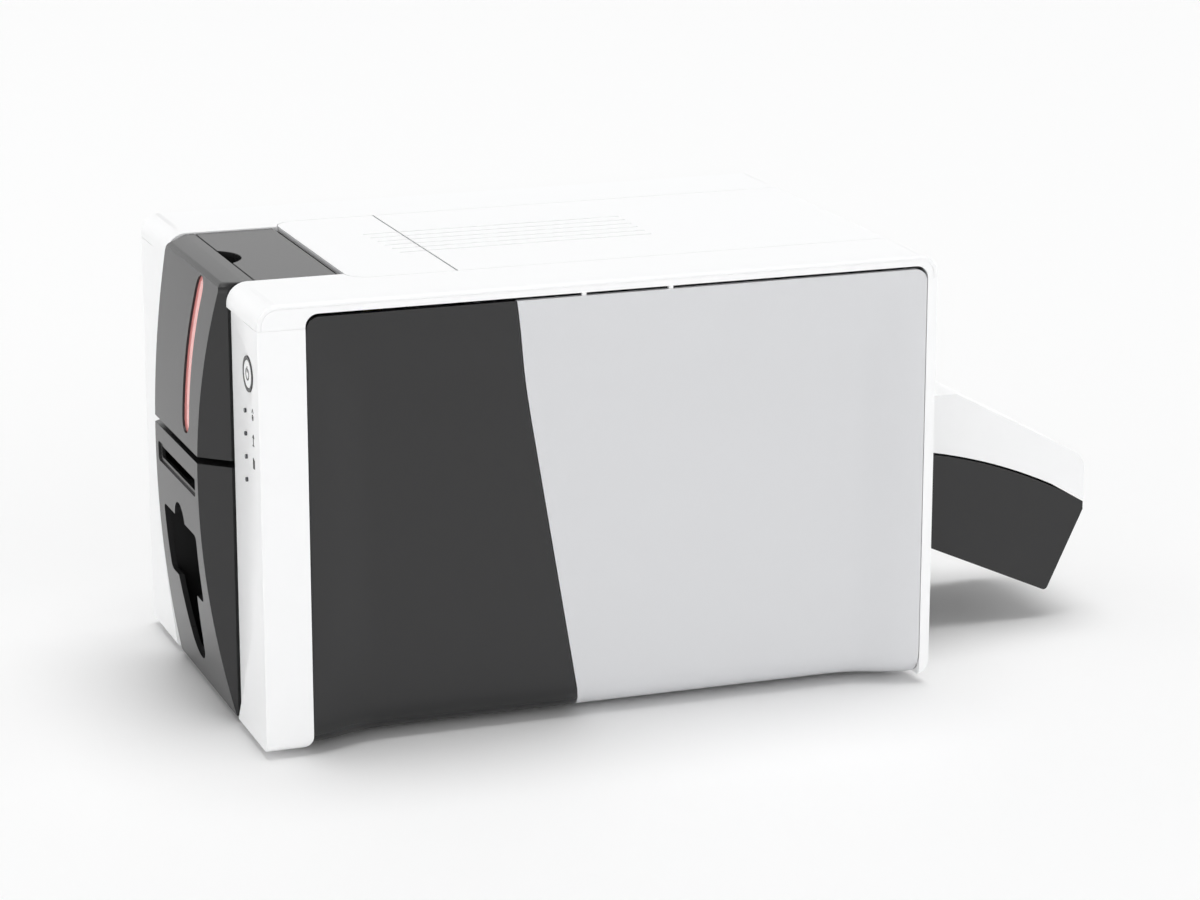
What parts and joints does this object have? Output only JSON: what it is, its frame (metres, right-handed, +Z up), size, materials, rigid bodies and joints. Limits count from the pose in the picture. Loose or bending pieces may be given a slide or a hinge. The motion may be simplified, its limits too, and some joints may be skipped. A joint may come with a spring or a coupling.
{
  "type": "id card printer",
  "caption": "Desktop card printer with dished two-tone side panels, a hinged front cover over the print unit, a rear card feeder and a front output bin.",
  "frame": {"origin": "middle of the footprint of the whole printer, on the desk", "axes": "+X to the printer's left-hand side when seen from behind, that is right when facing it, +Y from the front to the rear feeder, +Z up"},
  "size_m": [0.205, 0.425, 0.195],
  "materials": {
    "white_plastic": "satin moulded",
    "dark_plastic": "satin moulded",
    "grey_plastic": "satin moulded",
    "rubber": "matt",
    "light_strip": "translucent",
    "zinc_steel": "zinc plated",
    "turned_steel": "turned",
    "fin_aluminium": "extruded",
    "head_ceramic": "glazed",
    "cassette_plastic": "moulded",
    "ribbon": "film",
    "gear_plastic": "moulded acetal",
    "bronze": "sintered",
    "belt_rubber": "matt",
    "motor_black": "black enamel",
    "board_green": "solder mask",
    "button_grey": "satin",
    "light_guide": "clear",
    "cleaning_blue": "tacky",
    "yellow_ribbon": "film",
    "track_grey": "moulded"
  },
  "bodies": {
    "base": {"base_tray": "dark_plastic", "feet": "rubber", "side_frame_right": "white_plastic", "side_frame_left": "white_plastic", "side_panel_front_right": "dark_plastic", "side_panel_rear_right": "grey_plastic", "side_panel_front_left": "dark_plastic", "side_panel_rear_left": "grey_plastic", "lower_front_panel": "dark_plastic", "output_bin": "dark_plastic", "rear_lid": "white_plastic", "rear_panel": "dark_plastic", "hinge_pins": "turned_steel", "chassis_plate_right": "zinc_steel", "chassis_plate_left": "zinc_steel", "cross_bars": "turned_steel", "chassis_screws": "turned_steel", "shaft_bushes": "bronze", "card_track": "track_grey", "drive_belt": "belt_rubber", "pickup_belt": "belt_rubber", "drive_motor": "motor_black", "feeder_hopper": "dark_plastic", "feeder_pin": "turned_steel", "mainboard": "board_green", "interface_board": "board_green", "usb_socket": "zinc_steel", "dc_inlet": "motor_black", "status_lights": "light_guide", "control_board": "board_green"},
    "cover": {"front_cap": "dark_plastic", "light_strip": "light_strip", "top_plate": "dark_plastic", "front_lid": "white_plastic", "cover_chassis": "dark_plastic", "print_head": "head_ceramic", "head_heatsink": "fin_aluminium", "head_springs": "turned_steel", "cassette_frame": "cassette_plastic", "ribbon_film": "ribbon", "ribbon_motor": "turned_steel"},
    "supply": {"supply_spool": "yellow_ribbon"},
    "take_up": {"take_up_spool": "gear_plastic"},
    "ribbon_drive": {"ribbon_pinion": "gear_plastic"},
    "platen": {"platen_roller": "rubber"},
    "front_feed": {"front_feed_roller": "rubber"},
    "rear_feed": {"rear_feed_roller": "rubber"},
    "front_pinch": {"front_pinch_roller": "turned_steel"},
    "rear_pinch": {"rear_pinch_roller": "turned_steel"},
    "cleaning": {"cleaning_roller": "cleaning_blue"},
    "pickup": {"pickup_roller": "rubber"},
    "motor_shaft": {"motor_pinion": "bronze"},
    "feeder_lid": {"feeder_cover": "white_plastic"},
    "button": {"power_button": "button_grey"}
  },
  "joints": [
    {"name": "cover_hinge", "type": "hinge", "parent": "base", "child": "cover", "pos_m": [0, -0.1185, 0.187], "axis": [-1, 0, 0], "range_deg": [0, 75]},
    {"name": "feeder_hinge", "type": "hinge", "parent": "base", "child": "feeder_lid", "pos_m": [0, 0.1101, 0.1065], "axis": [1, 0, 0], "range_deg": [0, 60]},
    {"name": "button_press", "type": "slide", "parent": "base", "child": "button", "axis": [0, 1, 0], "range_m": [0, 0.0008], "stiffness_N_per_m": 800, "springref_m": -0.0008},
    {"name": "platen_spin", "type": "hinge", "parent": "base", "child": "platen", "pos_m": [0, -0.1395, 0.096], "axis": [1, 0, 0], "continuous": true},
    {"name": "front_feed_spin", "type": "hinge", "parent": "base", "child": "front_feed", "pos_m": [0, -0.1745, 0.096], "axis": [1, 0, 0], "continuous": true},
    {"name": "rear_feed_spin", "type": "hinge", "parent": "base", "child": "rear_feed", "pos_m": [0, -0.0895, 0.096], "axis": [1, 0, 0], "continuous": true},
    {"name": "front_pinch_spin", "type": "hinge", "parent": "base", "child": "front_pinch", "pos_m": [0, -0.1745, 0.1078], "axis": [1, 0, 0], "continuous": true},
    {"name": "rear_pinch_spin", "type": "hinge", "parent": "base", "child": "rear_pinch", "pos_m": [0, -0.0895, 0.1078], "axis": [1, 0, 0], "continuous": true},
    {"name": "cleaning_spin", "type": "hinge", "parent": "base", "child": "cleaning", "pos_m": [0, -0.0515, 0.1078], "axis": [1, 0, 0], "continuous": true},
    {"name": "pickup_spin", "type": "hinge", "parent": "base", "child": "pickup", "pos_m": [0, 0.08741, 0.0556], "axis": [1, 0, 0], "continuous": true},
    {"name": "motor_spin", "type": "hinge", "parent": "base", "child": "motor_shaft", "pos_m": [0, -0.1395, 0.068], "axis": [1, 0, 0], "continuous": true},
    {"name": "supply_spin", "type": "hinge", "parent": "cover", "child": "supply", "pos_m": [0, -0.1175, 0.146], "axis": [1, 0, 0], "continuous": true},
    {"name": "take_up_spin", "type": "hinge", "parent": "cover", "child": "take_up", "pos_m": [0, -0.1735, 0.152], "axis": [1, 0, 0], "continuous": true},
    {"name": "ribbon_motor_spin", "type": "hinge", "parent": "cover", "child": "ribbon_drive", "pos_m": [0, -0.1735, 0.177], "axis": [1, 0, 0], "continuous": true}
  ],
  "couplings": [
    {"joint": "front_feed_spin", "follows": "platen_spin", "ratio": 1},
    {"joint": "rear_feed_spin", "follows": "platen_spin", "ratio": 1},
    {"joint": "pickup_spin", "follows": "platen_spin", "ratio": 1},
    {"joint": "front_pinch_spin", "follows": "platen_spin", "ratio": -1.2},
    {"joint": "rear_pinch_spin", "follows": "platen_spin", "ratio": -1.2},
    {"joint": "cleaning_spin", "follows": "platen_spin", "ratio": -1.2},
    {"joint": "motor_spin", "follows": "platen_spin", "ratio": -3},
    {"joint": "ribbon_motor_spin", "follows": "take_up_spin", "ratio": -2.5714},
    {"joint": "supply_spin", "follows": "take_up_spin", "ratio": 0.6}
  ]
}
